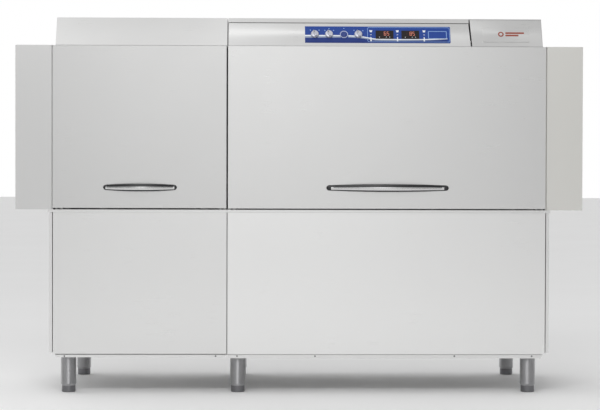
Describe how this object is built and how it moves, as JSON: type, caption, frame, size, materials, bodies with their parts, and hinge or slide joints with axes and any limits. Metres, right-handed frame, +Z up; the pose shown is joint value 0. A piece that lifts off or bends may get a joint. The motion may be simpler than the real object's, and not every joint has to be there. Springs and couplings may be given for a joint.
{
  "type": "rack conveyor dishwasher",
  "caption": "Stainless rack-conveyor dishwasher: prewash and wash modules with lifting doors, leaned-back hood with a blue control panel, splash shrouds at both ends and tubular legs.",
  "frame": {"origin": "on the floor, at the middle of the overall box", "axes": "+X to the right seen from the front, which is the way racks travel; -Y is the front; +Z up"},
  "size_m": [2.36, 0.854, 1.568],
  "materials": {
    "satin_steel": "satin brushed stainless sheet",
    "polished_steel": "polished stainless",
    "plain_steel": "mill finish stainless tube",
    "bright_chrome": "bright",
    "foot_steel": "satin",
    "pump_castings": "painted casting",
    "black_plastic": "moulded",
    "grey_pipe": "extruded",
    "brass_fittings": "turned",
    "curtain_plastic": "soft sheet",
    "blue_overlay": "printed film",
    "blue_button": "moulded",
    "silver_knob": "satin"
  },
  "bodies": {
    "cabinet": {"badge_plate": "satin_steel", "base_frame": "plain_steel", "base_trays": "satin_steel", "chamber_left": "satin_steel", "chamber_right": "satin_steel", "control_fascia": "satin_steel", "control_overlay": "blue_overlay", "door_guides": "satin_steel", "end_cap": "satin_steel", "entry_shroud": "satin_steel", "exit_shroud": "satin_steel", "front_panel_left": "satin_steel", "front_panel_right": "satin_steel", "gearmotor": "pump_castings", "heaters": "satin_steel", "hood_left": "satin_steel", "hood_right": "satin_steel", "leg_tubes": "polished_steel", "lift_ropes_left": "polished_steel", "lift_ropes_right": "polished_steel", "panel_screws": "polished_steel", "prewash_tank": "satin_steel", "pump_pipes": "grey_pipe", "pumps": "pump_castings", "rack_rails": "satin_steel", "rear_panels": "satin_steel", "rinse_arms": "satin_steel", "service_connections": "brass_fittings", "side_panels": "satin_steel", "strainer_trays": "satin_steel", "tank_rim": "satin_steel", "wash_arms": "satin_steel", "wash_tank": "satin_steel"},
    "door_left": {"door_left_skin": "satin_steel", "door_left_liner": "satin_steel", "handle_left": "bright_chrome"},
    "door_right": {"door_right_skin": "satin_steel", "door_right_liner": "satin_steel", "handle_right": "bright_chrome"},
    "balance_left": {"balance_shaft_left": "polished_steel"},
    "balance_right": {"balance_shaft_right": "polished_steel"},
    "shuttle": {"shuttle_bar": "satin_steel"},
    "lever": {"drive_lever": "satin_steel"},
    "pawl_1_body": {"pawl_1": "satin_steel"},
    "pawl_2_body": {"pawl_2": "satin_steel"},
    "pawl_3_body": {"pawl_3": "satin_steel"},
    "knob_left_body": {"knob_left": "silver_knob"},
    "knob_middle_body": {"knob_middle": "silver_knob"},
    "knob_right_body": {"knob_right": "silver_knob"},
    "button": {"start_button": "blue_button"},
    "prewash_rotor": {"prewash_impeller": "black_plastic"},
    "wash_rotor": {"wash_impeller": "black_plastic"},
    "entry_curtain": {"curtain_entry": "curtain_plastic"},
    "exit_curtain": {"curtain_exit": "curtain_plastic"},
    "front_left_foot": {"foot_front_left": "foot_steel"},
    "front_middle_foot": {"foot_front_middle": "foot_steel"},
    "front_right_foot": {"foot_front_right": "foot_steel"},
    "rear_left_foot": {"foot_rear_left": "foot_steel"},
    "rear_middle_foot": {"foot_rear_middle": "foot_steel"},
    "rear_right_foot": {"foot_rear_right": "foot_steel"}
  },
  "joints": [
    {"name": "door_left_lift", "type": "slide", "parent": "cabinet", "child": "door_left", "axis": [0, 0, 1], "range_m": [0, 0.46], "deforming": ["lift_ropes_left"]},
    {"name": "balance_left_turn", "type": "hinge", "parent": "cabinet", "child": "balance_left", "pos_m": [-0.6615, -0.2775, 1.471], "axis": [1, 0, 0], "range_deg": [-996, 0]},
    {"name": "door_right_lift", "type": "slide", "parent": "cabinet", "child": "door_right", "axis": [0, 0, 1], "range_m": [0, 0.46], "deforming": ["lift_ropes_right"]},
    {"name": "balance_right_turn", "type": "hinge", "parent": "cabinet", "child": "balance_right", "pos_m": [0.3595, -0.2775, 1.471], "axis": [1, 0, 0], "range_deg": [-996, 0]},
    {"name": "shuttle_stroke", "type": "slide", "parent": "cabinet", "child": "shuttle", "axis": [1, 0, 0], "range_m": [-0.08, 0.08]},
    {"name": "lever_swing", "type": "hinge", "parent": "cabinet", "child": "lever", "pos_m": [0.7, 0.295, 0.826], "axis": [0, 0, 1], "range_deg": [-15.5, 15.5]},
    {"name": "pawl_1_fold", "type": "hinge", "parent": "shuttle", "child": "pawl_1_body", "pos_m": [-0.7, 0, 0.848], "axis": [0, 1, 0], "range_deg": [0, 55], "stiffness_Nm_per_rad": 0.06, "springref_deg": -22.92},
    {"name": "pawl_2_fold", "type": "hinge", "parent": "shuttle", "child": "pawl_2_body", "pos_m": [-0.06, 0, 0.848], "axis": [0, 1, 0], "range_deg": [0, 55], "stiffness_Nm_per_rad": 0.06, "springref_deg": -22.92},
    {"name": "pawl_3_fold", "type": "hinge", "parent": "shuttle", "child": "pawl_3_body", "pos_m": [0.58, 0, 0.848], "axis": [0, 1, 0], "range_deg": [0, 55], "stiffness_Nm_per_rad": 0.06, "springref_deg": -22.92},
    {"name": "knob_left_turn", "type": "hinge", "parent": "cabinet", "child": "knob_left_body", "pos_m": [0.0628, -0.29985, 1.4977], "axis": [0, 0.9015, -0.4327], "range_deg": [-25, 65]},
    {"name": "knob_middle_turn", "type": "hinge", "parent": "cabinet", "child": "knob_middle_body", "pos_m": [0.1226, -0.29985, 1.4977], "axis": [0, 0.9015, -0.4327], "range_deg": [-25, 65]},
    {"name": "knob_right_turn", "type": "hinge", "parent": "cabinet", "child": "knob_right_body", "pos_m": [0.2458, -0.29985, 1.4977], "axis": [0, 0.9015, -0.4327], "range_deg": [-25, 65]},
    {"name": "start_button_press", "type": "slide", "parent": "cabinet", "child": "button", "axis": [0, 0.9015, -0.4327], "range_m": [0, 0.003], "stiffness_N_per_m": 600, "springref_m": -0.001},
    {"name": "prewash_pump_spin", "type": "hinge", "parent": "cabinet", "child": "prewash_rotor", "pos_m": [-0.64, 0.12, 0.26], "axis": [1, 0, 0], "continuous": true},
    {"name": "wash_pump_spin", "type": "hinge", "parent": "cabinet", "child": "wash_rotor", "pos_m": [0.08, 0.12, 0.26], "axis": [1, 0, 0], "continuous": true},
    {"name": "entry_curtain_swing", "type": "hinge", "parent": "cabinet", "child": "entry_curtain", "pos_m": [-0.985, 0, 1.322], "axis": [0, 1, 0], "range_deg": [-25, 25]},
    {"name": "exit_curtain_swing", "type": "hinge", "parent": "cabinet", "child": "exit_curtain", "pos_m": [0.985, 0, 1.322], "axis": [0, 1, 0], "range_deg": [-25, 25]},
    {"name": "front_left_foot_level", "type": "slide", "parent": "cabinet", "child": "front_left_foot", "axis": [0, 0, -1], "range_m": [0, 0.03]},
    {"name": "front_middle_foot_level", "type": "slide", "parent": "cabinet", "child": "front_middle_foot", "axis": [0, 0, -1], "range_m": [0, 0.03]},
    {"name": "front_right_foot_level", "type": "slide", "parent": "cabinet", "child": "front_right_foot", "axis": [0, 0, -1], "range_m": [0, 0.03]},
    {"name": "rear_left_foot_level", "type": "slide", "parent": "cabinet", "child": "rear_left_foot", "axis": [0, 0, -1], "range_m": [0, 0.03]},
    {"name": "rear_middle_foot_level", "type": "slide", "parent": "cabinet", "child": "rear_middle_foot", "axis": [0, 0, -1], "range_m": [0, 0.03]},
    {"name": "rear_right_foot_level", "type": "slide", "parent": "cabinet", "child": "rear_right_foot", "axis": [0, 0, -1], "range_m": [0, 0.03]}
  ],
  "couplings": [
    {"joint": "balance_left_turn", "follows": "door_left_lift", "rad_per_m": -37.736},
    {"joint": "balance_right_turn", "follows": "door_right_lift", "rad_per_m": -37.736},
    {"joint": "lever_swing", "follows": "shuttle_stroke", "rad_per_m": 3.3102}
  ]
}
